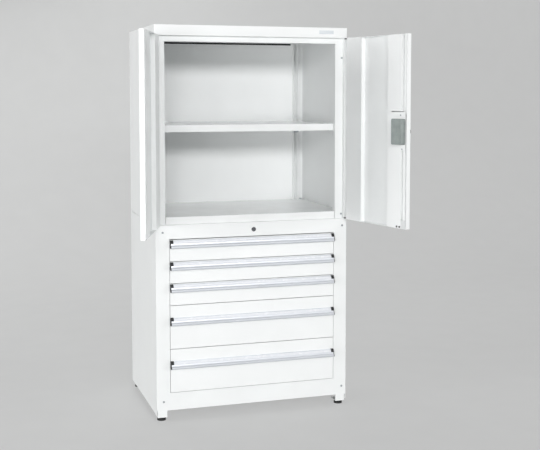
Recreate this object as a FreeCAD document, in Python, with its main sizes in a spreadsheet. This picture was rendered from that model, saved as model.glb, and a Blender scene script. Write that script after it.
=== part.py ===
import FreeCAD, Part
import Sketcher
import os
import re

# Two-piece workshop cabinet: an upper case with two hinged doors and a shelf,
# standing on a lower case with five drawers and four levelling feet.
# X runs to the right, Y to the back, Z up, in millimetres.
# The origin lies on the floor under the middle of the case.
# The doors are drawn shut and then swung open about their hinge pins.

doc = FreeCAD.newDocument("cabinet")
sizes = doc.addObject("Spreadsheet::Sheet", "Sizes")

driving = [
    ("caseWidth", 880, "outside width of both cases"),
    ("caseDepth", 600, "outside depth of both cases"),
    ("totalHeight", 1719, "floor to top of the cap"),
    ("seamZ", 859, "joint between lower and upper case"),
    ("seamGap", 1.2, "open joint under the upper side panels and strips"),
    ("capTall", 44.7, "height of the cap"),
    ("sheet", 1.5, "panel sheet thickness"),
    ("thin", 1.2, "door and drawer sheet thickness"),
    ("setback", 22, "upper posts behind the front plane"),
    ("upperPost", 48, "width of an upper post"),
    ("postStrip", 13, "strip beside a door, flush with the front plane"),
    ("postReturn", 30, "depth of an upper post's inner return"),
    ("headerTall", 25, "height of the header under the cap"),
    ("floorRise", 32, "floor panel above the seam"),
    ("shelfTop", 430, "shelf surface below the top"),
    ("shelfTall", 30, "height of the shelf's rim"),
    ("shelfBack", 44, "shelf front behind the front plane"),
    ("shelfHalf", 390.5, "half width of the shelf"),
    ("uprightNear", 385, "rear upright, side nearest the middle"),
    ("uprightWide", 24, "width of an upright"),
    ("uprightLip", 5, "lip along an open upright's far edge"),
    ("uprightDeep", 25, "depth of an upright"),
    ("slotPitch", 25, "spacing of the upright's slots"),
    ("doorThick", 19.5, "thickness of a door"),
    ("doorGap", 1, "gap on each side of a pair of doors"),
    ("doorSlack", 1.5, "gap above and below a door"),
    ("pivotOut", 6, "hinge pin outside the case side"),
    ("pivotFront", 7, "hinge pin in front of the front plane"),
    ("leftOpen", 109, "left door's opening as shown, degrees"),
    ("rightOpen", 103.9, "right door's opening as shown, degrees"),
    ("knuckleRadius", 5.5, "hinge knuckle radius"),
    ("pinRadius", 2.5, "hinge pin radius"),
    ("knuckleTall", 12.9, "height of one knuckle"),
    ("hingeTopZ", 1643, "foot of the upper hinge"),
    ("hingeLowZ", 864.5, "foot of the lower hinge"),
    ("washerTall", 4.5, "thickness of a hinge washer"),
    ("hingeStile", 111, "width of a door's hinge stile"),
    ("stileFrom", 297, "lock stile starts, from the hinge edge"),
    ("stileTo", 390, "lock stile ends, from the hinge edge"),
    ("lockAlong", 384, "spindle, from the hinge edge"),
    ("lockZ", 1267, "height of the spindle"),
    ("plateUp", 82, "lock plate above the spindle"),
    ("plateSlit", 4, "stile opening above the lock plate"),
    ("rodAlong", 406, "lock rods, from the hinge edge"),
    ("rodWide", 16, "width of a lock rod"),
    ("rodTravel", 17, "stroke of a lock rod"),
    ("rodThick", 3, "thickness of a lock rod"),
    ("camRadius", 12, "cam pins from the spindle"),
    ("lowerPost", 60, "width of a lower post"),
    ("topRailTall", 60.6, "height of the lower case's top rail"),
    ("topGap", 4, "gap above the first drawer front"),
    ("drawerGap", 3, "gap between drawer fronts"),
    ("lowFront", 93, "height of a low drawer front"),
    ("tallFront", 189, "height of a tall drawer front"),
    ("frontThick", 20, "thickness of a drawer front"),
    ("frontSide", 2, "gap beside a drawer front"),
    ("boxLength", 540, "depth of a drawer box"),
    ("slideWide", 13, "width of a drawer slide"),
    ("slideUp", 30, "slide centre above the drawer box's bottom"),
    ("bottomZ", 46.9, "underside of the lower case"),
    ("skirtZ", 26.4, "lower edge of the side panels"),
    ("legZ", 15.5, "underside of the legs"),
    ("legWide", 42, "width of a leg"),
    ("legDeep", 60, "depth of a leg"),
    ("legInset", 5, "leg behind the case's faces"),
    ("plate", 2, "leg and bracket plate thickness"),
    ("padRadius", 19, "radius of a foot pad"),
    ("padTall", 9, "height of a foot pad"),
    ("studRadius", 5, "radius of a foot's stud"),
    ("handleTall", 33, "height of a handle strip"),
    ("handleOut", 20, "handle's reach in front of the drawer"),
    ("handleWall", 1.8, "wall of the handle strip"),
    ("capPlate", 2.5, "thickness of a handle's end plate"),
    ("keyholeZ", 827.2, "height of the drawer lock"),
    ("keyRadius", 10, "radius of the drawer lock's head"),
    ("plugRadius", 6, "radius of the lock's turning plug"),
    ("crankRadius", 14, "crank pin from the lock's axis"),
    ("barThick", 3, "thickness of the locking bar"),
    ("fit", 0.05, "radial running clearance"),
]
for row, (alias, value, note) in enumerate(driving, start=1):
    sizes.set("A%d" % row, str(value))
    sizes.set("B%d" % row, note)
    sizes.setAlias("A%d" % row, alias)
derived = [
    ("halfW", "caseWidth/2"),
    ("frontY", "-caseDepth/2"),
    ("backY", "caseDepth/2"),
    ("capZ", "totalHeight-capTall"),
    ("postY", "frontY+setback"),
    ("floorZ", "seamZ+floorRise"),
    ("headerZ", "capZ-headerTall"),
    ("shelfZ", "totalHeight-shelfTop"),
    ("shelfY", "frontY+shelfBack"),
    ("doorEdge", "halfW-postStrip-doorGap"),
    ("doorLowZ", "seamZ+doorSlack-0.3"),
    ("doorTopZ", "capZ-doorSlack"),
    ("doorBackY", "frontY+doorThick"),
    ("pivotX", "halfW+pivotOut"),
    ("pivotY", "frontY-pivotFront"),
    ("bayHalf", "halfW-lowerPost"),
    ("railZ", "seamZ-topRailTall"),
    ("boxHalf", "bayHalf-slideWide"),
    ("boxY", "frontY+frontThick-thin"),
    ("boxBackY", "boxY+boxLength"),
    ("barY", "backY-19"),
    ("pinSide", "camRadius*0.70711"),
    ("crankSide", "crankRadius*0.70711"),
]
names = set(alias for alias, value, note in driving)


def withSheet(text):
    """Put the sheet's name before each of its aliases."""
    return re.sub("[A-Za-z]+", lambda word: "Sizes." + word.group(0) if word.group(0) in names
                  else word.group(0), text)


first = len(driving) + 1
for row, (alias, formula) in enumerate(derived, start=first):
    sizes.set("A%d" % row, "=" + formula)
    sizes.setAlias("A%d" % row, alias)
    names.add(alias)
doc.recompute()


def value(alias):
    """The number the sheet holds under a name."""
    return float(sizes.get(alias))


def bind(item, field, text):
    item.setExpression(field, withSheet(text))


def place(item, x="0", y="0", z="0"):
    for axis, text in zip("xyz", (x, y, z)):
        bind(item, "Placement.Base." + axis, text)


def block(label, xs, ys, zs):
    """A box between pairs of bounds."""
    item = doc.addObject("Part::Box", label)
    for field, (low, high) in zip(("Length", "Width", "Height"), (xs, ys, zs)):
        bind(item, field, "(%s)-(%s)" % (high, low))
    place(item, xs[0], ys[0], zs[0])
    return item


def rod(label, x, y, z, radius, length, axis="z"):
    """A round bar starting at a point and running along an axis."""
    item = doc.addObject("Part::Cylinder", label)
    turn = {"z": FreeCAD.Rotation(),
            "y": FreeCAD.Rotation(FreeCAD.Vector(1, 0, 0), -90),
            "x": FreeCAD.Rotation(FreeCAD.Vector(0, 1, 0), 90)}[axis]
    item.Placement = FreeCAD.Placement(FreeCAD.Vector(), turn)
    bind(item, "Radius", radius)
    bind(item, "Height", length)
    place(item, x, y, z)
    return item


def join(label, items):
    item = doc.addObject("Part::MultiFuse", label)
    item.Shapes = items
    item.Refine = True
    return item


def group(label, items):
    """Several equal pieces under one name."""
    item = doc.addObject("Part::Compound", label)
    item.Links = items
    return item


def cut(label, base, tools):
    tool = tools[0] if len(tools) == 1 else join(label + "_tools", tools)
    item = doc.addObject("Part::Cut", label)
    item.Base = base
    item.Tool = tool
    return item


def mid(low, high):
    return "((%s)+(%s))/2" % (low, high)


def span(side, near, far):
    """Bounds in X on the left or right half, from distances off the middle."""
    if side == "left":
        return ("-(%s)" % far, "-(%s)" % near)
    return (near, far)


def sign(side):
    return "-1" if side == "left" else "1"


def originPlane(body, role):
    for item in body.Origin.OriginFeatures:
        if item.Role == role:
            return item


def outline(body, role, points, name, offset="0"):
    """A closed sketch whose corners follow the sheet."""
    sketch = body.newObject("Sketcher::SketchObject", name)
    sketch.AttachmentSupport = (originPlane(body, role), [""])
    sketch.MapMode = "FlatFace"
    bind(sketch, "AttachmentOffset.Base.z", offset)
    count = len(points)
    for index in range(count):
        start = FreeCAD.Rotation(FreeCAD.Vector(0, 0, 1), 360.0 * index / count)
        end = FreeCAD.Rotation(FreeCAD.Vector(0, 0, 1), 360.0 * (index + 1) / count)
        reach = FreeCAD.Vector(50, 0, 0)
        sketch.addGeometry(Part.LineSegment(start.multVec(reach), end.multVec(reach)), False)
    for index in range(count):
        sketch.addConstraint(Sketcher.Constraint("Coincident", index, 2, (index + 1) % count, 1))
    for index, point in enumerate(points):
        for kind, text in zip(("DistanceX", "DistanceY"), point):
            number = sketch.addConstraint(Sketcher.Constraint(kind, -1, 1, index, 1, 1.0))
            bind(sketch, "Constraints[%d]" % number, text)
    return sketch


def ring(body, role, name, centre, radius, offset="0"):
    """A circle sketch that follows the sheet."""
    sketch = body.newObject("Sketcher::SketchObject", name)
    sketch.AttachmentSupport = (originPlane(body, role), [""])
    sketch.MapMode = "FlatFace"
    bind(sketch, "AttachmentOffset.Base.z", offset)
    sketch.addGeometry(Part.Circle(FreeCAD.Vector(1, 1, 0), FreeCAD.Vector(0, 0, 1), 3), False)
    number = sketch.addConstraint(Sketcher.Constraint("Radius", 0, 3.0))
    bind(sketch, "Constraints[%d]" % number, radius)
    for kind, text in zip(("DistanceX", "DistanceY"), centre):
        number = sketch.addConstraint(Sketcher.Constraint(kind, -1, 1, 0, 3, 1.0))
        bind(sketch, "Constraints[%d]" % number, text)
    return sketch


def pad(body, sketch, length):
    item = body.newObject("PartDesign::Pad", sketch.Name + "_pad")
    item.Profile = sketch
    bind(item, "Length", length)
    sketch.Visibility = False
    return item


def pocket(body, sketch, length, flip=False):
    item = body.newObject("PartDesign::Pocket", sketch.Name + "_pocket")
    item.Profile = sketch
    item.Reversed = flip
    bind(item, "Length", length)
    return item


def newBody(label):
    return doc.addObject("PartDesign::Body", label)


def prism(label, role, points, length, offset="0"):
    """A body made of one sketched outline pulled straight."""
    body = newBody(label)
    pad(body, outline(body, role, points, label + "_outline", offset), length)
    return body


def roundEdges(body, radius, wanted):
    """Round the straight edges of a body that pass a test on their middle and direction."""
    doc.recompute()
    tip = body.Tip
    chosen = []
    for index, edge in enumerate(tip.Shape.Edges, start=1):
        if edge.Curve.TypeId != "Part::GeomLine":
            continue
        first_point = edge.Vertexes[0].Point
        last_point = edge.Vertexes[-1].Point
        middle = (first_point + last_point) * 0.5
        along = last_point - first_point
        if wanted(middle, along):
            chosen.append("Edge%d" % index)
    item = body.newObject("PartDesign::Fillet", body.Name + "_round")
    item.Base = (tip, chosen)
    bind(item, "Radius", radius)
    return item


def swing(item, side):
    """Turn a piece drawn on the shut door to the door's place as shown."""
    item.Placement = FreeCAD.Placement(FreeCAD.Vector(), FreeCAD.Rotation(FreeCAD.Vector(0, 0, 1), 1))
    angle = "(-leftOpen)" if side == "left" else "rightOpen"
    pivot = "(%s*pivotX)" % sign(side)
    bind(item, "Placement.Rotation.Angle", angle)
    bind(item, "Placement.Base.x", "%s-%s*cos(%s*1deg)+pivotY*sin(%s*1deg)" % (pivot, pivot, angle, angle))
    bind(item, "Placement.Base.y", "pivotY-%s*sin(%s*1deg)-pivotY*cos(%s*1deg)" % (pivot, angle, angle))
    return item


# Lower case shell: side panels with skirts, back, bottom and top.
for side in ("left", "right"):
    block("lower_side_" + side, span(side, "halfW-sheet", "halfW"), ("frontY+sheet", "backY"),
          ("skirtZ", "seamZ-sheet"))
block("lower_bottom", ("-halfW+sheet", "halfW-sheet"), ("frontY+sheet", "backY-sheet"),
      ("bottomZ", "bottomZ+sheet"))

# Lower case back with two straps that guide the locking bar.
back_plate = block("back_plate", ("-halfW+sheet", "halfW-sheet"), ("backY-sheet", "backY"),
                   ("bottomZ", "seamZ-sheet"))
straps = []
for index, height in enumerate(("bottomZ+94", "railZ-75")):
    outer = block("strap_outer_%d" % index, ("1", "29.5"), ("barY-3.5", "backY-sheet"),
                  (height, height + "+12"))
    inner = block("strap_inner_%d" % index, ("4.9", "25.3"), ("barY-0.4", "barY+barThick+0.4"),
                  (height + "-1", height + "+13"))
    straps.append(cut("strap_%d" % index, outer, [inner]))
join("lower_back", [back_plate] + straps)

# Top of the lower case, with the lock rod's hole and four bolt holes.
boltPlaces = [(across, along) for across in ("-(halfW-15)", "halfW-15")
              for along in ("frontY+94", "backY-15")]


def boltHoles(name, low, high):
    return [rod("%s_%d" % (name, index), x, y, low, "4.3", "(%s)-(%s)" % (high, low))
            for index, (x, y) in enumerate(boltPlaces)]


def rodHole(name, low, high):
    return block(name, ("doorEdge-rodAlong-11", "doorEdge-rodAlong+11"),
                 ("frontY+6.5", "frontY+17.5"), (low, high))


top_plate = block("lower_top_plate", ("-halfW", "halfW"), ("frontY", "backY"), ("seamZ-sheet", "seamZ"))
cut("lower_top", top_plate,
    boltHoles("lower_bolt_hole", "seamZ-5", "seamZ+5") + [rodHole("lower_rod_hole", "seamZ-5", "seamZ+5")])

# Welded front frame of the lower case: two posts, top rail and bottom rail.
frame = newBody("lower_frame")
pad(frame, outline(frame, "XZ_Plane", [("-halfW", "bottomZ"), ("halfW", "bottomZ"),
                                       ("halfW", "seamZ-sheet"), ("-halfW", "seamZ-sheet")],
                   "frame_face", "-frontY-sheet"), "sheet")
opening = outline(frame, "XZ_Plane", [("-bayHalf", "bottomZ+76.5"), ("bayHalf", "bottomZ+76.5"),
                                      ("bayHalf", "railZ"), ("-bayHalf", "railZ")],
                  "frame_opening", "-frontY+1")
pocket(frame, opening, "sheet+2")
pocket(frame, ring(frame, "XZ_Plane", "frame_keyhole", ("0", "keyholeZ"), "plugRadius+3.4", "-frontY+1"),
       "sheet+2")
for side in ("left", "right"):
    low, high = span(side, "bayHalf", "bayHalf+sheet")
    pad(frame, outline(frame, "XY_Plane", [(low, "frontY+sheet"), (high, "frontY+sheet"),
                                           (high, "frontY+38"), (low, "frontY+38")],
                       "frame_return_" + side, "bottomZ+sheet"), "seamZ-bottomZ-2*sheet")
for name, low in (("rail", "railZ"), ("sill", "bottomZ+75")):
    pad(frame, outline(frame, "XY_Plane", [("-bayHalf", "frontY+sheet"), ("bayHalf", "frontY+sheet"),
                                           ("bayHalf", "frontY+30"), ("-bayHalf", "frontY+30")],
                       "frame_lip_" + name, low), "sheet")

# Rear supports the drawer slides are screwed to.
supports = []
for side in ("left", "right"):
    web = block("support_web_" + side, span(side, "bayHalf", "bayHalf+sheet"),
                ("backY-70", "backY-sheet"), ("bottomZ+sheet", "seamZ-sheet"))
    foot = block("support_foot_" + side, span(side, "bayHalf", "bayHalf+30"),
                 ("backY-2*sheet", "backY-sheet"), ("bottomZ+sheet", "seamZ-sheet"))
    supports.append(join("support_" + side, [web, foot]))
group("rail_supports", supports)

# Drawers, counted from the top, with the height of each front.
fronts = ["lowFront", "lowFront", "lowFront", "tallFront", "tallFront"]
frontTops = []
level = "railZ-topGap"
for tall in fronts:
    frontTops.append(level)
    level = "%s-%s-drawerGap" % (level, tall)


def boxLow(index):
    """Underside of a drawer's box."""
    return "(%s-%s+8)" % (frontTops[index], fronts[index])


# Outer members of the drawer slides, fixed to the case: channels open to the drawer.
def channel(label, side, near, far, half, height, start, length, lip):
    """A straight steel channel lying along the drawer's travel."""
    if side == "left":
        across = lambda text: "-(%s)" % text
    else:
        across = lambda text: text
    points = [(near, "-" + half), (far, "-" + half), (far, "-%s+thin" % half),
              ("%s+%s*thin" % (near, lip), "-%s+thin" % half), ("%s+%s*thin" % (near, lip), half + "-thin"),
              (far, half + "-thin"), (far, half), (near, half)]
    body = prism(label, "XZ_Plane", [(across(x), z) for x, z in points], length, "0")
    body.Tip.Reversed = True
    place(body, "0", start, height)
    return body


caseRails = []
for index in range(5):
    height = boxLow(index) + "+slideUp"
    for side in ("left", "right"):
        caseRails.append(channel("case_rail_%d_%s" % (index + 1, side), side, "bayHalf", "bayHalf-6", "20",
                                 height, "frontY+frontThick+2", "boxLength", "-1"))
group("case_rails", caseRails)

# Middle members: an upright web with a flange on each edge, riding between the other two.
for index in range(5):
    height = boxLow(index) + "+slideUp"
    pair = []
    for side in ("left", "right"):
        web = block("mid_web_%d_%s" % (index + 1, side), span(side, "bayHalf-6.6", "bayHalf-5.2"),
                    ("frontY+frontThick+3", "frontY+frontThick+boxLength-17"),
                    (height + "-17.4", height + "+17.4"))
        flanges = [block("mid_flange_%d_%s_%d" % (index + 1, side, number),
                         span(side, "bayHalf-8.8", "bayHalf-2.4"),
                         ("frontY+frontThick+3", "frontY+frontThick+boxLength-17"),
                         (height + low, height + high))
                   for number, (low, high) in enumerate((("-17.4", "-16.2"), ("+16.2", "+17.4")))]
        pair.append(join("mid_rail_%d_%s" % (index + 1, side), [web] + flanges))
    group("mid_rails_%d" % (index + 1), pair)

# Drawer boxes: hollow steel front, open box, welded inner slide members and rear catch.
for index in range(5):
    number = index + 1
    top = frontTops[index]
    tall = fronts[index]
    low = boxLow(index)
    high = "(%s-14)" % top
    shell = block("front_shell_%d" % number, ("-bayHalf+frontSide", "bayHalf-frontSide"),
                  ("frontY", "frontY+frontThick"), ("%s-%s" % (top, tall), top))
    hollow = block("front_hollow_%d" % number, ("-bayHalf+frontSide+thin", "bayHalf-frontSide-thin"),
                   ("frontY+thin", "frontY+frontThick+1"),
                   ("%s-%s+thin" % (top, tall), "%s-thin" % top))
    face = cut("front_%d" % number, shell, [hollow])
    outer = block("box_outer_%d" % number, ("-boxHalf", "boxHalf"), ("boxY", "boxBackY"), (low, high))
    inner = block("box_inner_%d" % number, ("-boxHalf+thin", "boxHalf-thin"),
                  ("boxY+thin", "boxBackY-thin"), (low + "+thin", high + "+1"))
    box = cut("box_%d" % number, outer, [inner])
    pieces = [face, box]
    for side in ("left", "right"):
        for place_name, (bottom, above) in (("low", ("-15", "-13.8")), ("high", ("+13.8", "+15"))):
            pieces.append(block("runner_%d_%s_%s" % (number, side, place_name),
                                span(side, "boxHalf-0.5", "bayHalf-7.4"), ("boxY+3", "boxBackY"),
                                (low + "+slideUp" + bottom, low + "+slideUp" + above)))
    pieces.append(block("catch_floor_%d" % number, ("2", "28"), ("boxBackY-0.5", "boxBackY+14"),
                        (low + "+10", low + "+12")))
    pieces.append(block("catch_lip_%d" % number, ("2", "28"), ("boxBackY+12", "boxBackY+14"),
                        (low + "+10", low + "+24")))
    join("drawer_%d" % number, pieces)

# Handle strips: a drawn metal section with a label bed sloping down from a ledge, an upright
# face below it and a nose with a finger grip behind.
sectionOuter = [("0", "0"), ("-6", "0"), ("-7", "-1.8"), ("-6.2", "-2.2"), ("-11.4", "-11.7"),
                ("-12.1", "-11.3"), ("-13", "-13"), ("-14", "-19"), ("-handleOut", "-25.5"),
                ("-handleOut", "-29.5"), ("-handleOut+2.5", "-handleTall"), ("-handleOut+7", "-handleTall")]
sectionInner = [("-handleOut+7", "-handleTall+handleWall"), ("-handleOut+3.5", "-handleTall+handleWall"),
                ("-handleOut+handleWall", "-28.8"), ("-handleOut+handleWall", "-26.3"),
                ("-12.3", "-19.9"), ("-11.1", "-13.4"), ("-5", "-handleWall"),
                ("-handleWall", "-handleWall"), ("-handleWall", "-handleTall"), ("0", "-handleTall")]
endOutline = [("0", "0"), ("-6", "0"), ("-13", "-13"), ("-14", "-19"), ("-handleOut", "-25.5"),
              ("-handleOut", "-29.5"), ("-handleOut+2.5", "-handleTall"), ("0", "-handleTall")]
coverOutline = [("0", "1"), ("-6.6", "1"), ("-14", "-12.7"), ("-13.1", "-13.1"), ("-6", "0.05"),
                ("0", "0.05")]
handleDrops = ["2", "2", "2", "52", "52"]


def noseEdge(middle, along):
    """True for the long edges round a handle's nose."""
    out = middle.y + value("handleOut")
    level = middle.z + value("handleTall")
    return abs(along.x) > 2 and (abs(out) < 0.1 or abs(level) < 0.1 and abs(out - 2.5) < 0.1)


for index in range(5):
    number = index + 1
    height = "%s-%s" % (frontTops[index], handleDrops[index])
    reach = "bayHalf-frontSide-capPlate"
    strip = prism("handle_%d" % number, "YZ_Plane", sectionOuter + sectionInner, "2*(%s)" % reach)
    roundEdges(strip, "1.5", noseEdge)
    place(strip, "-(%s)" % reach, "frontY", height)
    ends = []
    for side in ("left", "right"):
        plate = prism("end_plate_%d_%s" % (number, side), "YZ_Plane", endOutline, "capPlate")
        roundEdges(plate, "1.5", noseEdge)
        low, high = span(side, reach, reach + "+capPlate")
        place(plate, low, "frontY", height)
        cover = prism("end_cover_%d_%s" % (number, side), "YZ_Plane", coverOutline, "13")
        low, high = span(side, reach + "+capPlate-13", reach + "+capPlate")
        place(cover, low, "frontY", height)
        ends.append(join("handle_end_%d_%s" % (number, side), [plate, cover]))
    group("handle_caps_%d" % number, ends)

# Legs: folded brackets with a face, an outer side, a sole and a top flange.
legPlaces = [(side, end) for end in ("front", "rear") for side in ("left", "right")]


def legBounds(end, near, far):
    """Bounds in Y from distances behind the nearest case face."""
    if end == "front":
        return ("frontY+" + near, "frontY+" + far)
    return ("backY-(%s)" % far, "backY-(%s)" % near)


legs = []
feet = []
for number, (side, end) in enumerate(legPlaces, start=1):
    wide = span(side, "halfW-legInset-legWide", "halfW-legInset")
    pieces = [block("leg_face_%d" % number, wide, legBounds(end, "legInset", "legInset+plate"),
                    ("legZ", "bottomZ")),
              block("leg_side_%d" % number, span(side, "halfW-legInset-plate", "halfW-legInset"),
                    legBounds(end, "legInset", "legInset+legDeep"), ("legZ", "bottomZ")),
              block("leg_sole_%d" % number, wide, legBounds(end, "legInset", "legInset+legDeep"),
                    ("legZ", "legZ+plate")),
              block("leg_flange_%d" % number, wide, legBounds(end, "legInset", "legInset+legDeep"),
                    ("bottomZ-plate", "bottomZ"))]
    across = "%s*(halfW-legInset-legWide/2)" % sign(side)
    along = legBounds(end, "legInset+23.5", "legInset+24")[0]
    hole = rod("leg_hole_%d" % number, across, along, "legZ-1", "studRadius+0.3", "plate+2")
    legs.append(cut("leg_%d" % number, join("leg_plates_%d" % number, pieces), [hole]))
    pad_round = rod("foot_pad_%d" % number, across, along, "0", "padRadius", "padTall")
    collar = rod("foot_collar_%d" % number, across, along, "padTall-0.5", "9", "legZ-padTall+0.5")
    stud = rod("foot_stud_%d" % number, across, along, "padTall-0.5", "studRadius", "26")
    feet.append(join("foot_%d" % number, [pad_round, collar, stud]))
group("legs", legs)
group("levelling_feet", feet)

# Drawer lock: fixed housing, turning plug with a long rod and crank, and a sliding bar with hooks.
housing = [rod("housing_head", "0", "frontY-2", "keyholeZ", "keyRadius", "2", "y"),
           rod("housing_body", "0", "frontY-1", "keyholeZ", "plugRadius+3", "26", "y")]
cut("lock_housing", join("housing_solid", housing),
    [rod("housing_bore", "0", "frontY-3", "keyholeZ", "plugRadius+fit", "40", "y")])
plug_parts = [rod("plug_barrel", "0", "frontY-1.6", "keyholeZ", "plugRadius", "30", "y"),
              rod("plug_rod", "0", "frontY+20", "keyholeZ", "4", "barY+8-frontY-20", "y"),
              block("plug_crank", ("-5", "crankSide+4"), ("barY+barThick+2", "barY+barThick+5"),
                    ("keyholeZ-5", "keyholeZ+crankSide+4")),
              rod("plug_pin", "crankSide", "barY-0.5", "keyholeZ+crankSide", "2.5", "barThick+3.5", "y")]
keyway = block("plug_keyway", ("-1", "1"), ("frontY-3", "frontY+6"), ("keyholeZ-4", "keyholeZ+4"))
cut("lock_plug", join("plug_solid", plug_parts), [keyway])
bar_parts = [block("bar_strip", ("5.2", "25"), ("barY", "barY+barThick"),
                   ("bottomZ+90", "keyholeZ+crankSide+12"))]
for index in range(5):
    low = boxLow(index) + "+2*crankSide"
    bar_parts.append(block("bar_arm_%d" % index, ("8", "22"), ("boxBackY+4", "barY+0.5"),
                           (low + "+27", low + "+30")))
    bar_parts.append(block("bar_tooth_%d" % index, ("8", "22"), ("boxBackY+4", "boxBackY+7"),
                           (low + "+14", low + "+30")))
slot = block("bar_slot", ("6.6", "18"), ("barY-1", "barY+barThick+1"),
             ("keyholeZ+crankSide-3.1", "keyholeZ+crankSide+3.1"))
cut("lock_bar", join("bar_solid", bar_parts), [slot])

# Upper case shell: side panels, back, floor panel with its front lip, and the hollow cap.
for side in ("left", "right"):
    block("upper_side_" + side, span(side, "halfW-sheet", "halfW"), ("frontY+sheet", "backY"),
          ("seamZ+seamGap", "capZ"))
block("upper_back", ("-halfW+sheet", "halfW-sheet"), ("backY-sheet", "backY"), ("seamZ", "capZ"))

lipHalf = "halfW-upperPost-2"
floor_parts = [block("floor_plate", ("-halfW+sheet", "halfW-sheet"), ("postY+postReturn+1", "backY-sheet"),
                     ("floorZ-sheet", "floorZ")),
               block("floor_front", ("-(%s)" % lipHalf, lipHalf), ("postY", "postY+postReturn+2"),
                     ("floorZ-sheet", "floorZ")),
               block("floor_lip", ("-(%s)" % lipHalf, lipHalf), ("postY", "postY+sheet"),
                     ("seamZ", "floorZ"))]
cut("floor_panel", join("floor_solid", floor_parts), boltHoles("floor_bolt_hole", "floorZ-5", "floorZ+5"))

cap = newBody("top_cap")
pad(cap, outline(cap, "XY_Plane", [("-halfW", "frontY"), ("halfW", "frontY"), ("halfW", "backY"),
                                   ("-halfW", "backY")], "cap_outline", "capZ"), "capTall")
roundEdges(cap, "4", lambda middle, along: abs(along.z) > 40 and middle.y < 0)
pocket(cap, outline(cap, "XY_Plane", [("-halfW+sheet", "frontY+sheet"), ("halfW-sheet", "frontY+sheet"),
                                      ("halfW-sheet", "backY-sheet"), ("-halfW+sheet", "backY-sheet")],
                    "cap_hollow", "totalHeight-sheet"), "capTall-2*sheet")
holeLow = "doorEdge-rodAlong-11"
holeHigh = "doorEdge-rodAlong+11"
pocket(cap, outline(cap, "XY_Plane", [(holeLow, "frontY+6.5"), (holeHigh, "frontY+6.5"),
                                      (holeHigh, "frontY+17.5"), (holeLow, "frontY+17.5")],
                    "cap_rod_hole", "capZ+2*sheet"), "4*sheet")
block("badge_plate", ("306.5", "374.5"), ("frontY-1", "frontY"), ("totalHeight-28", "totalHeight-12.5"))

# Front frame of the upper case: two stepped posts and the header under the cap.
frame_parts = []
for side in ("left", "right"):
    frame_parts.append(block("post_strip_" + side, span(side, "halfW-postStrip", "halfW"),
                             ("frontY", "frontY+sheet"), ("seamZ+seamGap", "capZ")))
    frame_parts.append(block("post_step_" + side, span(side, "halfW-postStrip", "halfW-postStrip+sheet"),
                             ("frontY", "postY+sheet"), ("seamZ", "capZ")))
    frame_parts.append(block("post_face_" + side, span(side, "halfW-upperPost", "halfW-postStrip+sheet"),
                             ("postY", "postY+sheet"), ("seamZ", "capZ")))
    frame_parts.append(block("post_return_" + side, span(side, "halfW-upperPost", "halfW-upperPost+sheet"),
                             ("postY", "postY+postReturn"), ("seamZ", "capZ")))
frame_parts.append(block("header_face", ("-halfW+upperPost", "halfW-upperPost"), ("postY", "postY+sheet"),
                         ("headerZ", "capZ")))
frame_parts.append(block("header_return", ("-halfW+upperPost", "halfW-upperPost"), ("postY", "postY+13"),
                         ("headerZ", "headerZ+sheet")))
join("upper_frame", frame_parts)


# Uprights with a row of slots: a rear pair open to the front and a front pair behind the posts.
def upright(label, side, near, start):
    """A slotted channel standing on the floor panel, its slots in the wall at the back."""
    low, high = span(side, near, near + "+uprightWide")
    body = prism(label, "XY_Plane", [(low, start), (high, start), (high, start + "+uprightDeep"),
                                     (low, start + "+uprightDeep")], "capZ-floorZ", "floorZ")
    inner = (start + "+sheet", start + "+uprightDeep-sheet")
    pocket(body, outline(body, "XY_Plane", [(low + "+sheet", inner[0]), (high + "-sheet", inner[0]),
                                            (high + "-sheet", inner[1]), (low + "+sheet", inner[1])],
                         label + "_hollow", "capZ+1"), "capZ-floorZ+2")
    mouth = span(side, near + "+sheet", near + "+uprightWide-uprightLip")
    pocket(body, outline(body, "XY_Plane", [(mouth[0], start + "-1"), (mouth[1], start + "-1"),
                                            (mouth[1], inner[0] + "+0.5"), (mouth[0], inner[0] + "+0.5")],
                         label + "_mouth", "capZ+1"), "capZ-floorZ+2")
    first_slot = outline(body, "XZ_Plane",
                         [(mid(low, high) + "-3", "floorZ+30"), (mid(low, high) + "+3", "floorZ+30"),
                          (mid(low, high) + "+3", "floorZ+42"), (mid(low, high) + "-3", "floorZ+42")],
                         label + "_slot", "-(%s+uprightDeep-sheet)+1" % start)
    cutter = pocket(body, first_slot, "sheet+2")
    doc.recompute()
    row = body.newObject("PartDesign::LinearPattern", label + "_row")
    row.Originals = [cutter]
    row.Direction = (originPlane(body, "Z_Axis"), [""])
    row.Occurrences = 29
    bind(row, "Length", "28*slotPitch")
    body.Tip = row
    return body


pairs = []
for side in ("left", "right"):
    pairs.append(upright("rear_upright_" + side, side, "uprightNear", "backY-sheet-uprightDeep"))
    pairs.append(upright("front_upright_" + side, side, "halfW-sheet-uprightWide-12", "postY+postReturn+3"))
group("uprights", pairs)

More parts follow.
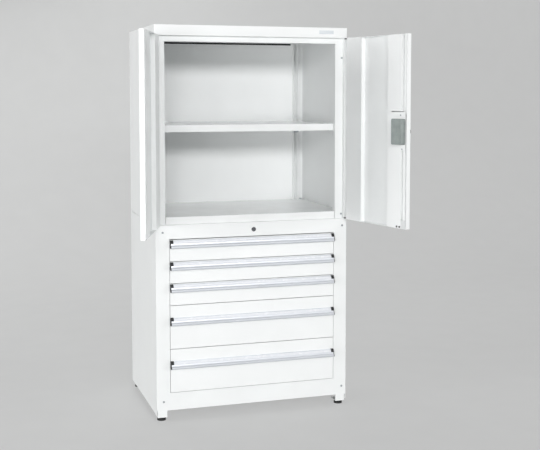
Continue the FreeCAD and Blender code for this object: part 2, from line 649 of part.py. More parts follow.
# Shelf: a tray turned down at all four edges, with a return under each long edge.
shelf = newBody("shelf")
pad(shelf, outline(shelf, "XY_Plane", [("-shelfHalf", "shelfY"), ("shelfHalf", "shelfY"),
                                       ("shelfHalf", "backY-sheet-uprightDeep-3"),
                                       ("-shelfHalf", "backY-sheet-uprightDeep-3")],
                   "shelf_outline", "shelfZ-shelfTall"), "shelfTall")
roundEdges(shelf, "3", lambda middle, along: abs(along.z) > 20)
pocket(shelf, outline(shelf, "XY_Plane", [("-shelfHalf+sheet", "shelfY+sheet"),
                                          ("shelfHalf-sheet", "shelfY+sheet"),
                                          ("shelfHalf-sheet", "backY-2*sheet-uprightDeep-3"),
                                          ("-shelfHalf+sheet", "backY-2*sheet-uprightDeep-3")],
                      "shelf_hollow", "shelfZ-sheet"), "shelfTall")
for name, low, high in (("front", "shelfY+sheet", "shelfY+16"),
                        ("rear", "backY-2*sheet-uprightDeep-17", "backY-2*sheet-uprightDeep-3")):
    pad(shelf, outline(shelf, "XY_Plane", [("-shelfHalf+sheet", low), ("shelfHalf-sheet", low),
                                           ("shelfHalf-sheet", high), ("-shelfHalf+sheet", high)],
                       "shelf_return_" + name, "shelfZ-shelfTall"), "sheet")

# Shelf clips: small angles hooked on the uprights, carrying the shelf's corners.
clips = []
for side in ("left", "right"):
    under = "shelfZ-shelfTall"
    frontNear = "halfW-sheet-uprightWide-12"
    rearY = "backY-sheet-uprightDeep"
    clips.append(join("clip_front_" + side, [
        block("clip_front_tab_" + side, span(side, "shelfHalf-15", frontNear),
              ("postY+postReturn+8", "postY+postReturn+23"), (under + "-plate", under)),
        block("clip_front_plate_" + side, span(side, frontNear + "-plate", frontNear),
              ("postY+postReturn+8", "postY+postReturn+23"), (under + "-28", under))]))
    clips.append(join("clip_rear_" + side, [
        block("clip_rear_tab_" + side, span(side, "uprightNear+0.5", "uprightNear+uprightWide-0.5"),
              (rearY + "-20", rearY), (under + "-plate", under)),
        block("clip_rear_plate_" + side, span(side, "uprightNear+0.5", "uprightNear+uprightWide-0.5"),
              (rearY + "-plate", rearY), (under + "-28", under))]))
group("shelf_clips", clips)

# Hinges: the fixed half is a leaf over the post's strip that carries the knuckle and the pin.
bases = []
for side in ("left", "right"):
    for name, low in (("top", "hingeTopZ"), ("low", "hingeLowZ")):
        tag = side + "_" + name
        pieces = [rod("base_knuckle_" + tag, "%s*pivotX" % sign(side), "pivotY", low, "knuckleRadius",
                      "knuckleTall"),
                  rod("base_pin_" + tag, "%s*pivotX" % sign(side), "pivotY", low + "+1", "pinRadius",
                      "2*knuckleTall-1.5"),
                  block("base_arm_" + tag, span(side, "halfW+0.5", "halfW+2.5"), ("pivotY", "frontY"),
                        (low, low + "+knuckleTall")),
                  block("base_leaf_" + tag, span(side, "halfW-postStrip+0.5", "halfW+2.5"),
                        ("frontY-sheet", "frontY"), (low, low + "+2*knuckleTall"))]
        bases.append(join("hinge_base_" + tag, pieces))
group("hinge_bases", bases)

# Washers closing the outer end of each hinge: a plate over the strip with a round end at the pin.
washers = []
for side in ("left", "right"):
    for name, low in (("top", "hingeTopZ+2*knuckleTall"), ("low", "hingeLowZ-washerTall")):
        tag = side + "_" + name
        plate_part = block("washer_plate_" + tag, span(side, "halfW-postStrip+0.5", "pivotX"),
                           ("pivotY-knuckleRadius+2", "frontY"), (low, low + "+washerTall"))
        round_part = rod("washer_round_" + tag, "%s*pivotX" % sign(side), "pivotY", low, "knuckleRadius",
                         "washerTall")
        washers.append(join("washer_" + tag, [plate_part, round_part]))
group("hinge_washers", washers)


# Door pieces, drawn with the door shut; distances run from the hinge edge inward.
def along(side, start, end):
    return span(side, "doorEdge-(%s)" % end, "doorEdge-(%s)" % start)


def deep(start, end):
    """Bounds in Y measured from the door's outer face inward."""
    return ("frontY+" + start, "frontY+" + end)


# Door leaves of the hinges, welded to the door's outer face.
for side in ("left", "right"):
    leaves = []
    for name, low in (("top", "hingeTopZ"), ("low", "hingeLowZ")):
        tag = side + "_" + name
        start = low + "+knuckleTall+0.3"
        knuckle = rod("leaf_knuckle_" + tag, "%s*pivotX" % sign(side), "pivotY", start, "knuckleRadius",
                      "knuckleTall-0.6")
        arm = block("leaf_arm_" + tag, span(side, "doorEdge-22", "pivotX"),
                    ("pivotY+2.2", "pivotY+2.2+plate"), (start, start + "+knuckleTall-0.6"))
        seat = block("leaf_seat_" + tag, span(side, "doorEdge-22", "doorEdge-2"),
                     ("pivotY+2.2", "frontY"), (start, start + "+knuckleTall-0.6"))
        bore = rod("leaf_bore_" + tag, "%s*pivotX" % sign(side), "pivotY", start + "-1",
                   "pinRadius+fit", "knuckleTall+2")
        leaves.append(cut("leaf_" + tag, join("leaf_solid_" + tag, [knuckle, arm, seat]), [bore]))
    swing(group(side + "_hinge_leaves", leaves), side)


# Door skins: a shallow pan open to the inside.
def doorSkin(side, holes):
    label = side + "_door_skin"
    outer = block(label + "_outer", along(side, "0", "doorEdge-doorGap"), deep("0", "doorThick"),
                  ("doorLowZ", "doorTopZ"))
    inner = block(label + "_inner", along(side, "thin", "doorEdge-doorGap-thin"),
                  deep("thin", "doorThick+1"), ("doorLowZ+thin", "doorTopZ-thin"))
    return swing(cut(label, outer, [inner] + holes), side)


doorSkin("left", [])
doorSkin("right", [
    block("skin_rod_slot", along("right", "rodAlong-9", "rodAlong+9"), deep("7.5", "16.5"),
          ("doorLowZ-5", "doorTopZ+5")),
    rod("skin_spindle_hole", "doorEdge-lockAlong", "frontY-1", "lockZ", "7", "4", "y")])

# Stiles: folded channels closing the pan along the hinge and at the lock.
hingeStiles = []
for side in ("left", "right"):
    face = block("hinge_stile_face_" + side, along(side, "thin", "hingeStile"),
                 deep("doorThick-thin", "doorThick"), ("doorLowZ+thin", "doorTopZ-thin"))
    wall = block("hinge_stile_wall_" + side, along(side, "hingeStile-thin", "hingeStile"),
                 deep("thin", "doorThick"), ("doorLowZ+thin", "doorTopZ-thin"))
    hingeStiles.append(join(side + "_hinge_stile", [face, wall]))


def innerStile(label, side, start, end):
    """A channel with its open side against the skin."""
    rise = ("doorLowZ+thin", "doorTopZ-thin")
    return join(label, [
        block(label + "_face", along(side, start, end), deep("doorThick-thin", "doorThick"), rise),
        block(label + "_near", along(side, start, start + "+thin"), deep("thin", "doorThick"), rise),
        block(label + "_far", along(side, end + "-thin", end), deep("thin", "doorThick"), rise)])


window = block("stile_window", along("right", "stileFrom+25", "stileTo+5"), deep("0", "doorThick+1"),
               ("lockZ-45", "lockZ+plateUp+plateSlit"))
lock_stile = cut("right_lock_stile", innerStile("lock_stile_solid", "right", "stileFrom", "stileTo"),
                 [window])
swing(group("right_door_stiles", [hingeStiles[1], lock_stile]), "right")
meeting = innerStile("left_meeting_solid", "left", "stileFrom", "stileTo")
strip_parts = [block("strip_held", along("left", "doorEdge-doorGap-thin-2", "doorEdge-doorGap-thin"),
                     deep("7", "doorThick+1.7"), ("doorLowZ+30", "doorTopZ-30")),
               block("strip_free", along("left", "doorEdge-doorGap-thin-2", "doorEdge-doorGap+6"),
                     deep("doorThick+0.4", "doorThick+1.7"), ("doorLowZ+30", "doorTopZ-30"))]
swing(group("left_door_stiles", [hingeStiles[0], meeting, join("overlap_strip", strip_parts)]), "left")

# Lock on the right door: cover plate, rounded case, rods, guides, handle and its base.
plate_sheet = block("lock_plate_sheet", along("right", "stileFrom+18", "doorEdge-doorGap-8"),
                    deep("doorThick", "doorThick+sheet"), ("lockZ-79", "lockZ+plateUp"))
swing(group("lock_plate", [plate_sheet]), "right")
case_outer = newBody("lock_case")
caseNear = "(doorEdge-417)"
caseFar = "(doorEdge-350)"
pad(case_outer, outline(case_outer, "XZ_Plane", [(caseNear, "lockZ-54"), (caseFar, "lockZ-54"),
                                                 (caseFar, "lockZ+54"), (caseNear, "lockZ+54")],
                        "case_outline", "-(frontY+doorThick+sheet)-21"), "21")
roundEdges(case_outer, "6", lambda middle, along: abs(along.y) > 15)
pocket(case_outer, outline(case_outer, "XZ_Plane",
                           [(caseNear + "+2", "lockZ-52"), (caseFar + "-2", "lockZ-52"),
                            (caseFar + "-2", "lockZ+52"), (caseNear + "+2", "lockZ+52")],
                           "case_hollow", "-(frontY+doorThick+sheet)+1"), "20")
pocket(case_outer, outline(case_outer, "XZ_Plane",
                           [(caseNear + "+10", "lockZ-50"), (caseNear + "+12.5", "lockZ-50"),
                            (caseNear + "+12.5", "lockZ+50"), (caseNear + "+10", "lockZ+50")],
                           "case_groove", "-(frontY+doorThick+sheet)-21.5"), "1.7", True)
swing(case_outer, "right")


def flatRod(label, layer, pinAlong, pinZ, rise):
    """A flat lock rod with a slotted tab for the cam pin."""
    depth = deep(layer, layer + "+rodThick")
    bar = block(label + "_bar", along("right", "rodAlong-rodWide/2", "rodAlong+rodWide/2"), depth, rise)
    tab = block(label + "_tab", along("right", pinAlong + "-7.5", "rodAlong"), depth,
                (pinZ + "-7", pinZ + "+7"))
    slot_cut = block(label + "_slot", along("right", pinAlong + "-3.6", pinAlong + "+7.1"),
                     deep(layer + "-1", layer + "+rodThick+1"), (pinZ + "-3.6", pinZ + "+3.6"))
    return cut(label, join(label + "_solid", [bar, tab]), [slot_cut])


swing(flatRod("lock_rod_top", "8.5", "(lockAlong+pinSide)", "(lockZ-pinSide)",
              ("lockZ-pinSide-7", "doorTopZ-2")), "right")
swing(flatRod("lock_rod_low", "12.5", "(lockAlong-pinSide-3.5)", "(lockZ+pinSide)",
              ("doorLowZ+2", "lockZ+pinSide+7")), "right")
guide_outer = block("guide_outer", along("right", "rodAlong-14", "rodAlong+14"), deep("thin", "18.5"),
                    ("doorLowZ+thin+1", "doorLowZ+thin+36"))
guide_inner = block("guide_inner", along("right", "rodAlong-rodWide/2-0.4", "rodAlong+rodWide/2+0.4"),
                    deep("12.1", "12.5+rodThick+0.4"), ("doorLowZ", "doorLowZ+thin+37"))
swing(cut("rod_guide", guide_outer, [guide_inner]), "right")
buffers = [rod("buffer_%d" % index, "doorEdge-" + place_along, "frontY+doorThick", "doorLowZ+7",
               "4", "2.1", "y")
           for index, place_along in enumerate(("365", "383"))]
swing(group("door_buffers", buffers), "right")

handle_base = newBody("handle_base")
pad(handle_base, outline(handle_base, "XZ_Plane",
                         [("doorEdge-lockAlong-17", "lockZ-62"), ("doorEdge-lockAlong+17", "lockZ-62"),
                          ("doorEdge-lockAlong+17", "lockZ+22"), ("doorEdge-lockAlong-17", "lockZ+22")],
                         "base_outline", "-frontY"), "7")
roundEdges(handle_base, "10", lambda middle, along: abs(along.y) > 5)
pocket(handle_base, ring(handle_base, "XZ_Plane", "base_bore", ("doorEdge-lockAlong", "lockZ"),
                         "5+fit", "-frontY+8"), "10")
swing(handle_base, "right")
axle = "doorEdge-lockAlong"
lever_parts = [rod("lever_spindle", axle, "frontY-20", "lockZ", "5", "26", "y"),
               rod("lever_hub", axle, "frontY-26", "lockZ", "13", "18", "y"),
               block("lever_arm", (axle, axle + "+105"), ("frontY-26", "frontY-14"),
                     ("lockZ-10", "lockZ+10")),
               rod("lever_cam", axle, "frontY+4.5", "lockZ", "camRadius+5", "3", "y"),
               rod("lever_pin_top", axle + "-pinSide", "frontY+7", "lockZ-pinSide", "3", "4.8", "y"),
               rod("lever_pin_low", axle + "+pinSide", "frontY+7", "lockZ+pinSide", "3", "8.8", "y")]
swing(join("door_handle", lever_parts), "right")


# Screws seen on the front frames, and bolts holding the two cases together.
def screw(label, x, y, z):
    head = rod(label + "_head", x, y + "-2.2", z, "4.5", "2.2", "y")
    shank = rod(label + "_shank", x, y + "-0.5", z, "2", "0.5", "y")
    recess = block(label + "_recess", ("(%s)-0.6" % x, "(%s)+0.6" % x), (y + "-3", y + "-1.2"),
                   (z + "-3.2", z + "+3.2"))
    return cut(label, join(label + "_solid", [head, shank]), [recess])


screws = []
for side, lowerIn in (("left", "30.5"), ("right", "20.5")):
    for name, inward, y, z in (("lower_high", lowerIn, "frontY", "(seamZ-31)"),
                               ("lower_low", lowerIn, "frontY", "(bottomZ+39)"),
                               ("upper_high", "postStrip+4.6", "postY", "(totalHeight-132.5)"),
                               ("upper_low", "postStrip+4.6", "postY", "(seamZ+20)")):
        screws.append(screw("screw_%s_%s" % (name, side), "%s*(halfW-(%s))" % (sign(side), inward), y, z))
bolts = []
for index, (x, y) in enumerate(boltPlaces):
    bolts.append(join("bolt_%d" % index, [
        rod("bolt_head_%d" % index, x, y, "floorZ", "6.5", "5"),
        rod("bolt_shank_%d" % index, x, y, "seamZ-14", "4", "floorRise+14.5"),
        rod("bolt_nut_%d" % index, x, y, "seamZ-sheet-7", "6.5", "7")]))
group("fasteners", screws + bolts)

doc.recompute()

nodes = ["lower_side_left", "lower_side_right", "lower_back", "lower_bottom", "lower_top", "lower_frame",
         "rail_supports", "case_rails", "legs", "levelling_feet", "fasteners", "lock_housing",
         "upper_side_left", "upper_side_right", "upper_back", "top_cap", "floor_panel", "upper_frame",
         "uprights", "shelf", "shelf_clips", "badge_plate", "hinge_bases", "hinge_washers",
         "lock_plug", "lock_bar", "right_door_skin", "right_door_stiles",
         "right_hinge_leaves", "lock_plate", "lock_case", "rod_guide", "door_buffers", "handle_base",
         "lock_rod_top", "lock_rod_low", "door_handle", "left_door_skin", "left_door_stiles",
         "left_hinge_leaves"]
for index in range(5):
    nodes += ["%s_%d" % (kind, index + 1) for kind in ("drawer", "handle", "handle_caps", "mid_rails")]

for item in doc.Objects:
    for state in item.State:
        if state in ("Invalid", "Error"):
            raise RuntimeError("%s is %s" % (item.Label, state))
os.makedirs("parts", exist_ok=True)
for node in nodes:
    item = doc.getObjectsByLabel(node)[0]
    if item.Shape.isNull() or not item.Shape.isValid():
        raise RuntimeError(node + " has no valid shape")
    item.Shape.exportStep("parts/%s.step" % node)
print("%d pieces written" % len(nodes))
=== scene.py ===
import math
import bmesh
import bpy
from mathutils import Matrix, Vector


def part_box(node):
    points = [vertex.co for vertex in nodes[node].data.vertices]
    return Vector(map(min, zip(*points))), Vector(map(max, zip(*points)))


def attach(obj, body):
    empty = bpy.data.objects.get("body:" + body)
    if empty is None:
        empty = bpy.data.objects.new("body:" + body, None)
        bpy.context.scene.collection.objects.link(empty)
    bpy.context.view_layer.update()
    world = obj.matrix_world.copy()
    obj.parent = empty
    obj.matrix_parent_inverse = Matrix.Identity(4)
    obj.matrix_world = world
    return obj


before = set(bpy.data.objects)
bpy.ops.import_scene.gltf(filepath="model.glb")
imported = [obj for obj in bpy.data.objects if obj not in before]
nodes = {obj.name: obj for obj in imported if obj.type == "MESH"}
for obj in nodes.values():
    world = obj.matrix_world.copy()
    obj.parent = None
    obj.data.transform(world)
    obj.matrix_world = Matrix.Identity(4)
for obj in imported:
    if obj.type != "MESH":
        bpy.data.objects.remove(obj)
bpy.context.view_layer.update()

# workshop cabinet with two doors over five drawers, in metres, Z up
mm = 0.001
drawerNumbers = range(1, 6)


def hexColour(text):
    # sRGB hex to the linear colour that shaders take
    channels = [int(text[i:i + 2], 16) / 255 for i in (1, 3, 5)]
    linear = [c / 12.92 if c <= 0.04045 else ((c + 0.055) / 1.055) ** 2.4 for c in channels]
    return (*linear, 1.0)


def addNode(tree, kind, settings=None, links=None):
    # settings go to sockets by name, to a ramp's stops or to the node itself; links are a socket's
    # name or number and its source
    node = tree.nodes.new(kind)
    for key, setting in (settings or {}).items():
        if key == "stops":
            elements = node.color_ramp.elements
            while len(elements) < len(setting):
                elements.new(0.5)
            for element, (place, colour) in zip(elements, setting):
                element.position = place
                element.color = hexColour(colour)
        elif key in node.inputs:
            node.inputs[key].default_value = setting
        else:
            setattr(node, key, setting)
    for key, source in (links or {}).items():
        tree.links.new(source, node.inputs[key])
    return node


def newMaterial(name, settings):
    # a material with one Principled shader, its tree, the shader and the object's own coordinates
    material = bpy.data.materials.new(name)
    material.use_nodes = True
    tree = material.node_tree
    shader = tree.nodes["Principled BSDF"]
    for key, setting in settings.items():
        shader.inputs[key].default_value = setting
    place = addNode(tree, "ShaderNodeTexCoord").outputs["Object"]
    return material, tree, shader, place


def finishSurface(tree, shader, pattern, relief, look):
    # the pattern moves the tone from dark to light and the roughness about its mean, and the relief
    # gives the bumps; returns the tone
    stops = list(zip(look["stops"], (look["dark"], look["light"])))
    tone = addNode(tree, "ShaderNodeValToRGB", {"stops": stops}, {"Fac": pattern})
    tree.links.new(tone.outputs["Color"], shader.inputs["Base Color"])
    smoother, rougher = look["spread"]
    gloss = addNode(tree, "ShaderNodeMapRange",
                    {"To Min": look["roughness"] - smoother, "To Max": look["roughness"] + rougher},
                    {"Value": pattern})
    tree.links.new(gloss.outputs["Result"], shader.inputs["Roughness"])
    bump = addNode(tree, "ShaderNodeBump", {"Strength": look["bump"], "Distance": look["depth"]},
                   {"Height": relief})
    tree.links.new(bump.outputs["Normal"], shader.inputs["Normal"])
    return tone.outputs["Color"]


print("stage: materials")

# a noise scale counts cells per metre, so it is 1000 over a size in mm; a bump's depth is in metres

# powder coat: polyester baked on steel sheet; the eye gets a satin white with a fine orange peel,
# cloudy by a shade or two, with a painted highlight that lightens the sharp folded edges; peel and cloud in
# mm
coat = {"light": "#F6F8F8", "dark": "#F2F4F4", "fold": "#FAFBFB", "peel": 1.4, "cloud": 160.0,
        "stops": (0.35, 0.65), "spread": (0.04, 0.06), "bump": 0.06, "depth": 0.0003}
powderCoat = {
    "polyesterPowderCoat": {**coat, "roughness": 0.42},
    "glossPowderCoat": {**coat, "roughness": 0.2},
}


def makePowderCoat(name, look):
    material, tree, shader, place = newMaterial(name, {"IOR": 1.5, "Metallic": 0.0, "Coat Weight": 0.12,
                                                       "Coat Roughness": 0.25})
    clouds = addNode(tree, "ShaderNodeTexNoise", {"Scale": 1000 / look["cloud"], "Detail": 3.0},
                     {"Vector": place})
    peel = addNode(tree, "ShaderNodeTexNoise", {"Scale": 1000 / look["peel"], "Detail": 2.0},
                   {"Vector": place})
    shade = finishSurface(tree, shader, clouds.outputs["Fac"], peel.outputs["Fac"], look)
    # painted highlight: on sharp convex edges the tone is mixed up to halfway toward the fold colour, where
    # light would catch
    folds = addNode(tree, "ShaderNodeNewGeometry")
    edgeHighlightAmount = addNode(tree, "ShaderNodeMapRange", {"From Min": 0.52, "From Max": 0.62, "To Max": 0.5},
                  {"Value": folds.outputs["Pointiness"]})
    paintedEdgeHighlight = addNode(tree, "ShaderNodeMix", {"data_type": "RGBA"},
                      {"Factor": edgeHighlightAmount.outputs["Result"], 6: shade})
    paintedEdgeHighlight.inputs[7].default_value = hexColour(look["fold"])
    tree.links.new(paintedEdgeHighlight.outputs[2], shader.inputs["Base Color"])
    return material


coats = {name: makePowderCoat(name, look) for name, look in powderCoat.items()}

# drawn aluminium: the strips are extruded and anodised, the plate is brushed; the eye gets a soft cool
# sheen and faint lines that run along X; line is a fine line's width in mm, and the noise's largest
# cells are coarse / scale such lines wide
drawn = {"along": 1.5, "coarse": 40, "scale": 12.0, "stops": (0.3, 0.7), "spread": (0.06, 0.08),
         "bump": 0.08, "depth": 0.0002}
aluminium = {
    "anodisedAluminium": {**drawn, "light": "#E6E9EE", "dark": "#DADEE4", "roughness": 0.42, "line": 0.6},
    "brushedAluminium": {**drawn, "light": "#DDE1E4", "dark": "#CDD3D7", "roughness": 0.34, "line": 0.4},
}


def makeAluminium(name, look):
    material, tree, shader, place = newMaterial(name, {"Metallic": 0.6, "Anisotropic": 0.3})
    across = 1000 / look["line"] / look["coarse"]
    stretch = addNode(tree, "ShaderNodeMapping", {"Scale": (look["along"], across, across)},
                      {"Vector": place})
    lines = addNode(tree, "ShaderNodeTexNoise", {"Scale": look["scale"], "Detail": 4.0},
                    {"Vector": stretch.outputs["Vector"]})
    finishSurface(tree, shader, lines.outputs["Fac"], lines.outputs["Fac"], look)
    return material


drawnMetals = {name: makeAluminium(name, look) for name, look in aluminium.items()}

# moulded plastics, rubber and film: spark-eroded mould grain, whose small pits scatter the gloss;
# grain and flow in mm
grained = {"flow": 25.0, "stops": (0.35, 0.65), "spread": (0.05, 0.07), "bump": 0.12, "depth": 0.0002}
moulded = {
    "absBlack": {**grained, "light": "#1D1E20", "dark": "#141516", "roughness": 0.48, "grain": 0.8},
    "polyamideBlack": {**grained, "light": "#191A1B", "dark": "#101112", "roughness": 0.55, "grain": 1.1},
    "absGrey": {**grained, "light": "#98A09E", "dark": "#8E9694", "roughness": 0.5, "grain": 0.7},
    "polyamideWhite": {**grained, "light": "#E4E6E6", "dark": "#DADDDD", "roughness": 0.5, "grain": 1.0},
    "nitrileRubber": {**grained, "light": "#232323", "dark": "#191919", "roughness": 0.8, "grain": 0.5},
    "polypropyleneFilm": {**grained, "light": "#F2F4F8", "dark": "#ECEFF4", "roughness": 0.25,
                          "grain": 1.5},
}


def makeMoulded(name, look):
    material, tree, shader, place = newMaterial(name, {"IOR": 1.53, "Metallic": 0.0})
    grain = addNode(tree, "ShaderNodeTexVoronoi", {"Scale": 1000 / look["grain"]}, {"Vector": place})
    flow = addNode(tree, "ShaderNodeTexNoise", {"Scale": 1000 / look["flow"], "Detail": 2.0},
                   {"Vector": place})
    finishSurface(tree, shader, flow.outputs["Fac"], grain.outputs["Distance"], look)
    return material


plastics = {name: makeMoulded(name, look) for name, look in moulded.items()}

# plated metal: zinc shows soft patches, chrome hardly any, nickel small ones; patch in mm
plate = {"stops": (0.35, 0.65), "spread": (0.05, 0.1), "bump": 0.05, "depth": 0.0002}
plated = {
    "zincPlatedSteel": {**plate, "light": "#B9BDC0", "dark": "#A4A9AD", "roughness": 0.34, "patch": 9.0},
    "chromePlatedZinc": {**plate, "light": "#8C8F92", "dark": "#7F8285", "roughness": 0.18, "patch": 14.0},
    "darkNickel": {**plate, "light": "#77797C", "dark": "#66686B", "roughness": 0.3, "patch": 3.0},
}


def makePlated(name, look):
    material, tree, shader, place = newMaterial(name, {"Metallic": 1.0})
    patches = addNode(tree, "ShaderNodeTexNoise", {"Scale": 1000 / look["patch"], "Detail": 3.0},
                      {"Vector": place})
    finishSurface(tree, shader, patches.outputs["Fac"], patches.outputs["Fac"], look)
    return material


metals = {name: makePlated(name, look) for name, look in plated.items()}

print("stage: dress the solids")

# which finish each solid wears; all others are powder coated
finishes = {
    "floor_panel": coats["glossPowderCoat"],
    "shelf": coats["glossPowderCoat"],
    "badge_plate": drawnMetals["brushedAluminium"],
    "lock_case": plastics["absGrey"],
    "handle_base": plastics["absGrey"],
    "door_handle": plastics["absBlack"],
    "rod_guide": plastics["polyamideWhite"],
    "door_buffers": plastics["nitrileRubber"],
    "levelling_feet": plastics["polyamideBlack"],
    "hinge_washers": plastics["polyamideBlack"],
    "lock_housing": metals["chromePlatedZinc"],
    "lock_plug": metals["darkNickel"],
    "lock_bar": metals["zincPlatedSteel"],
    "case_rails": metals["zincPlatedSteel"],
    "fasteners": metals["zincPlatedSteel"],
    "shelf_clips": metals["zincPlatedSteel"],
}
for number in drawerNumbers:
    finishes["handle_%d" % number] = drawnMetals["anodisedAluminium"]
    finishes["handle_caps_%d" % number] = plastics["absBlack"]
    finishes["mid_rails_%d" % number] = metals["zincPlatedSteel"]

# rounding of folded edges: radii in mm, and the turn in degrees from which an edge counts as folded
fold = {"panel": 0.9, "handle": 0.35, "segments": 2, "sharpFrom": 40}


def softenEdges(thing, radius):
    bevel = thing.modifiers.new("foldRadius", "BEVEL")
    bevel.width = radius * mm
    bevel.segments = fold["segments"]
    bevel.limit_method = "ANGLE"
    bevel.angle_limit = math.radians(fold["sharpFrom"])


for name, thing in nodes.items():
    thing.data.materials.clear()
    thing.data.materials.append(finishes.get(name, coats["polyesterPowderCoat"]))
    if name in ("top_cap", "shelf") or name.startswith("drawer_"):
        softenEdges(thing, fold["panel"])
    elif name.startswith("handle_"):
        softenEdges(thing, fold["handle"])


def addPiece(name, mesh, body, material):
    # finish a bmesh as a piece that rides on a body
    data = bpy.data.meshes.new(name)
    mesh.to_mesh(data)
    mesh.free()
    data.materials.append(material)
    thing = bpy.data.objects.new(name, data)
    bpy.context.scene.collection.objects.link(thing)
    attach(thing, body)
    return thing


def addProfileStrip(name, outline, left, right, body, material):
    # one outline of (y, z) in metres drawn along X
    mesh = bmesh.new()
    ends = [[mesh.verts.new((x, y, z)) for y, z in outline] for x in (left, right)]
    mesh.faces.new(ends[0])
    mesh.faces.new(list(reversed(ends[1])))
    for first in range(len(outline)):
        second = (first + 1) % len(outline)
        mesh.faces.new((ends[0][second], ends[0][first], ends[1][first], ends[1][second]))
    bmesh.ops.recalc_face_normals(mesh, faces=mesh.faces)
    return addPiece(name, mesh, body, material)


print("stage: label strips")

# a paper strip under clear film lies in the bed of each handle; in mm, with the bed's upper and lower
# edge as (y, z) counted from the drawer's front and the handle's top
label = {"bedTop": (-7.0, -1.8), "bedFoot": (-12.1, -11.3), "inset": 0.3, "lift": -0.15, "thick": 0.6,
         "endGap": 12.0, "edge": 0.25}


def addLabel(number):
    low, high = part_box("handle_%d" % number)
    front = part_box("drawer_%d" % number)[0][1]
    top = Vector((front + label["bedTop"][0] * mm, high[2] + label["bedTop"][1] * mm))
    foot = Vector((front + label["bedFoot"][0] * mm, high[2] + label["bedFoot"][1] * mm))
    slope = (foot - top).normalized()
    outward = Vector((slope.y, -slope.x))
    inset = slope * label["inset"] * mm
    lift = outward * label["lift"] * mm
    deeper = -outward * label["thick"] * mm
    start = top + inset + lift
    end = foot - inset + lift
    thing = addProfileStrip("label_strip_%d" % number, [start, end, end + deeper, start + deeper],
                            low[0] + label["endGap"] * mm, high[0] - label["endGap"] * mm,
                            "drawer_body_%d" % number, plastics["polypropyleneFilm"])
    softenEdges(thing, label["edge"])


for number in drawerNumbers:
    addLabel(number)

print("stage: seal and screws")

# dark rubber strip along the top of the back panel, standing in for the shadowed gap under the header:
# painted shade; in mm
shadeStrip = {"reach": 374.0, "top": 1674.0, "tall": 7.5, "thick": 2.4, "chamfer": 0.8}
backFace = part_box("upper_back")[0][1]
shadeStripFront = backFace - shadeStrip["thick"] * mm
shadeStripTop = shadeStrip["top"] * mm
shadeStripFoot = shadeStripTop - shadeStrip["tall"] * mm
cutBack = shadeStrip["chamfer"] * mm
shadeStripOutline = [(backFace, shadeStripTop), (shadeStripFront + cutBack, shadeStripTop), (shadeStripFront, shadeStripTop - cutBack),
               (shadeStripFront, shadeStripFoot + cutBack), (shadeStripFront + cutBack, shadeStripFoot), (backFace, shadeStripFoot)]
addProfileStrip("back_shade_strip", shadeStripOutline, -shadeStrip["reach"] * mm, shadeStrip["reach"] * mm, "case",
                plastics["nitrileRubber"])

# two pan-head screws hold the lock plate; the head's outline is turned, as (radius, height) in mm
screw = {"head": [(0.0, 1.9), (1.6, 1.8), (2.9, 1.3), (3.5, 0.5), (3.5, 0.0)], "facets": 24}
# where they sit, as mm from the right door's hinge edge and from the floor
plateScrews = {"upper": (400.6, 1335.7), "lower": (410.4, 1194.3)}
# the shut door's hinge edge along X, its pin in X and Y and its plate's face along Y in mm, and how far
# the door stands open in degrees
doorPose = {"edge": 439.0, "pivot": (446.0, -307.0), "plateFace": -278.5, "open": 103.9}
doorTurn = Matrix.Rotation(math.radians(doorPose["open"]), 3, "Z")


def doorPlace(along, height):
    # a point on the lock plate's face in metres, with the door open
    pivot = Vector((*doorPose["pivot"], height))
    shut = Vector((doorPose["edge"] - along, doorPose["plateFace"], height))
    return (pivot + doorTurn @ (shut - pivot)) * mm


def addScrew(name, place, facing, body, material):
    mesh = bmesh.new()
    turns = [2 * math.pi * step / screw["facets"] for step in range(screw["facets"])]
    rings = []
    for radius, height in screw["head"]:
        if radius == 0:
            rings.append([mesh.verts.new((0, 0, height * mm))])
        else:
            rings.append([mesh.verts.new((radius * mm * math.cos(turn), radius * mm * math.sin(turn),
                                          height * mm)) for turn in turns])
    for inner, outer in zip(rings, rings[1:]):
        for first in range(screw["facets"]):
            second = (first + 1) % screw["facets"]
            if len(inner) == 1:
                mesh.faces.new((inner[0], outer[first], outer[second]))
            else:
                mesh.faces.new((inner[first], outer[first], outer[second], inner[second]))
    mesh.faces.new(list(reversed(rings[-1])))
    mesh.transform(Matrix.Translation(place) @ facing.to_track_quat("Z", "X").to_matrix().to_4x4())
    return addPiece(name, mesh, body, material)


doorFacing = doorTurn @ Vector((0, 1, 0))
for name, (along, height) in plateScrews.items():
    addScrew("plate_screw_" + name, doorPlace(along, height), doorFacing, "right_door",
             metals["zincPlatedSteel"])

print("stage: camera and light")

# the photograph's eye: left of the middle, looking a little down, the frame shifted down so that the
# uprights stay nearly parallel; place in metres, turns in degrees, lens and sensor in mm, shift in
# frame widths
eye = {"place": (-1.2981, -4.6084, 1.4276), "yaw": 17.687, "pitch": 4.0, "lens": 68.266, "sensor": 36,
       "shiftDown": 0.1116}
cameraData = bpy.data.cameras.new("photoCamera")
cameraData.lens = eye["lens"]
cameraData.sensor_width = eye["sensor"]
cameraData.shift_y = -eye["shiftDown"]
camera = bpy.data.objects.new("photoCamera", cameraData)
camera.location = eye["place"]
camera.rotation_euler = (math.radians(90 - eye["pitch"]), 0, -math.radians(eye["yaw"]))
bpy.context.scene.collection.objects.link(camera)
bpy.context.scene.camera = camera


def seenDirectly(tree):
    # 1 for camera, mirror and see-through rays, 0 for the light that surfaces pass on
    path = addNode(tree, "ShaderNodeLightPath")
    seen = path.outputs["Is Camera Ray"]
    for ray in ("Is Glossy Ray", "Is Transmission Ray"):
        either = addNode(tree, "ShaderNodeMath", {"operation": "MAXIMUM"}, {0: seen, 1: path.outputs[ray]})
        seen = either.outputs["Value"]
    return seen


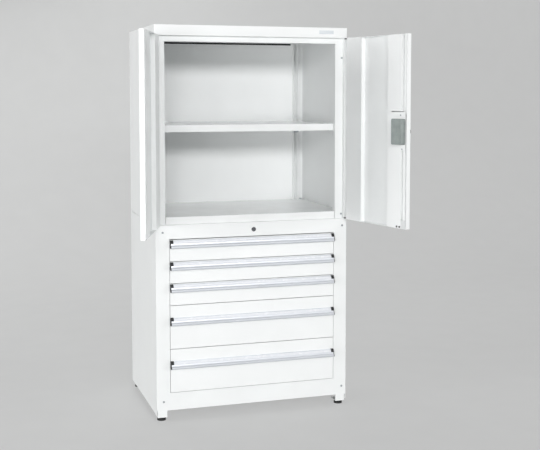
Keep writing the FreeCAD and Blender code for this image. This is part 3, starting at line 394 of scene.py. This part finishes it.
# floor and backdrop: one sheet of pale grey matt paper with a wide sweep; "own" is the share of its
# tone that is its own, so it stays even while the cabinet's shadow lies on it, and "white" that tone's
# strength; sizes in metres
sweep = {"colour": "#CFD1D0", "shade": "#CACCCB", "half": 5.6, "front": -6.0, "back": 5.0, "radius": 2.5,
         "arcSteps": 12, "tall": 6.0, "own": 0.6, "white": 0.66}
paper, paperTree, paperShader, paperPlace = newMaterial("mattePaper", {"Roughness": 0.9, "IOR": 1.45})
fibres = addNode(paperTree, "ShaderNodeTexNoise", {"Scale": 6.0, "Detail": 4.0}, {"Vector": paperPlace})
paperTone = addNode(paperTree, "ShaderNodeValToRGB",
                    {"stops": [(0.3, sweep["shade"]), (0.7, sweep["colour"])]},
                    {"Fac": fibres.outputs["Fac"]})
paperTree.links.new(paperTone.outputs["Color"], paperShader.inputs["Base Color"])
glow = addNode(paperTree, "ShaderNodeEmission", {"Strength": sweep["white"]})
share = addNode(paperTree, "ShaderNodeMapRange", {"To Max": sweep["own"]},
                {"Value": seenDirectly(paperTree)})
paperMix = addNode(paperTree, "ShaderNodeMixShader", {},
                   {"Fac": share.outputs["Result"], 1: paperShader.outputs["BSDF"],
                    2: glow.outputs["Emission"]})
paperTree.links.new(paperMix.outputs["Shader"], paperTree.nodes["Material Output"].inputs["Surface"])
profile = [(sweep["front"], 0.0)]
for step in range(sweep["arcSteps"] + 1):
    angle = math.pi / 2 * step / sweep["arcSteps"]
    profile.append((sweep["back"] - sweep["radius"] + sweep["radius"] * math.sin(angle),
                    sweep["radius"] - sweep["radius"] * math.cos(angle)))
profile.append((sweep["back"], sweep["tall"]))
mesh = bmesh.new()
rows = [[mesh.verts.new((x, y, z)) for x in (-sweep["half"], sweep["half"])] for y, z in profile]
for low, high in zip(rows, rows[1:]):
    mesh.faces.new((low[0], low[1], high[1], high[0]))
backdropMesh = bpy.data.meshes.new("backdrop")
mesh.to_mesh(backdropMesh)
mesh.free()
for face in backdropMesh.polygons:
    face.use_smooth = True
backdropMesh.materials.append(paper)
backdrop = bpy.data.objects.new("backdrop", backdropMesh)
bpy.context.scene.collection.objects.link(backdrop)

# plain studio: a wide strip light in front, above the eye, a low fill beside it, one softbox on each
# side, one behind for the rear faces, and an even sky; places and sizes in metres, power in watts
lamps = {
    "front": {"place": (-1.2, -9.0, 3.25), "aim": (0, 0, 1.2), "size": (5.0, 1.0), "power": 372},
    "low": {"place": (-4.8, -8.0, 0.9), "aim": (0, 0, 0.8), "size": (3.6, 1.2), "power": 178},
    "left": {"place": (-8.7, -1.9, 1.8), "aim": (0, 0, 0.9), "size": (2.6, 2.6), "power": 272},
    "right": {"place": (8.5, -4.0, 1.8), "aim": (0, 0, 0.9), "size": (2.6, 2.6), "power": 205},
    "back": {"place": (-0.6, 4.4, 3.3), "aim": (0, 0.3, 0.9), "size": (4.0, 1.6), "power": 75},
}
for name, lamp in lamps.items():
    data = bpy.data.lights.new(name + "Softbox", "AREA")
    data.shape = "RECTANGLE"
    data.size, data.size_y = lamp["size"]
    data.energy = lamp["power"]
    thing = bpy.data.objects.new(name + "Softbox", data)
    thing.location = lamp["place"]
    thing.rotation_euler = (Vector(lamp["aim"]) - Vector(lamp["place"])).to_track_quat("-Z", "Y").to_euler()
    bpy.context.scene.collection.objects.link(thing)
sky = {"light": 0.14, "seen": 0.55}
world = bpy.data.worlds.new("softSky")
bpy.context.scene.world = world
world.use_nodes = True
skyTree = world.node_tree
skyLevel = addNode(skyTree, "ShaderNodeMapRange", {"To Min": sky["light"], "To Max": sky["seen"]},
                   {"Value": seenDirectly(skyTree)})
skyTree.nodes["Background"].inputs["Color"].default_value = (1, 1, 1, 1)
skyTree.links.new(skyLevel.outputs["Result"], skyTree.nodes["Background"].inputs["Strength"])
bpy.context.scene.view_settings.view_transform = "Standard"
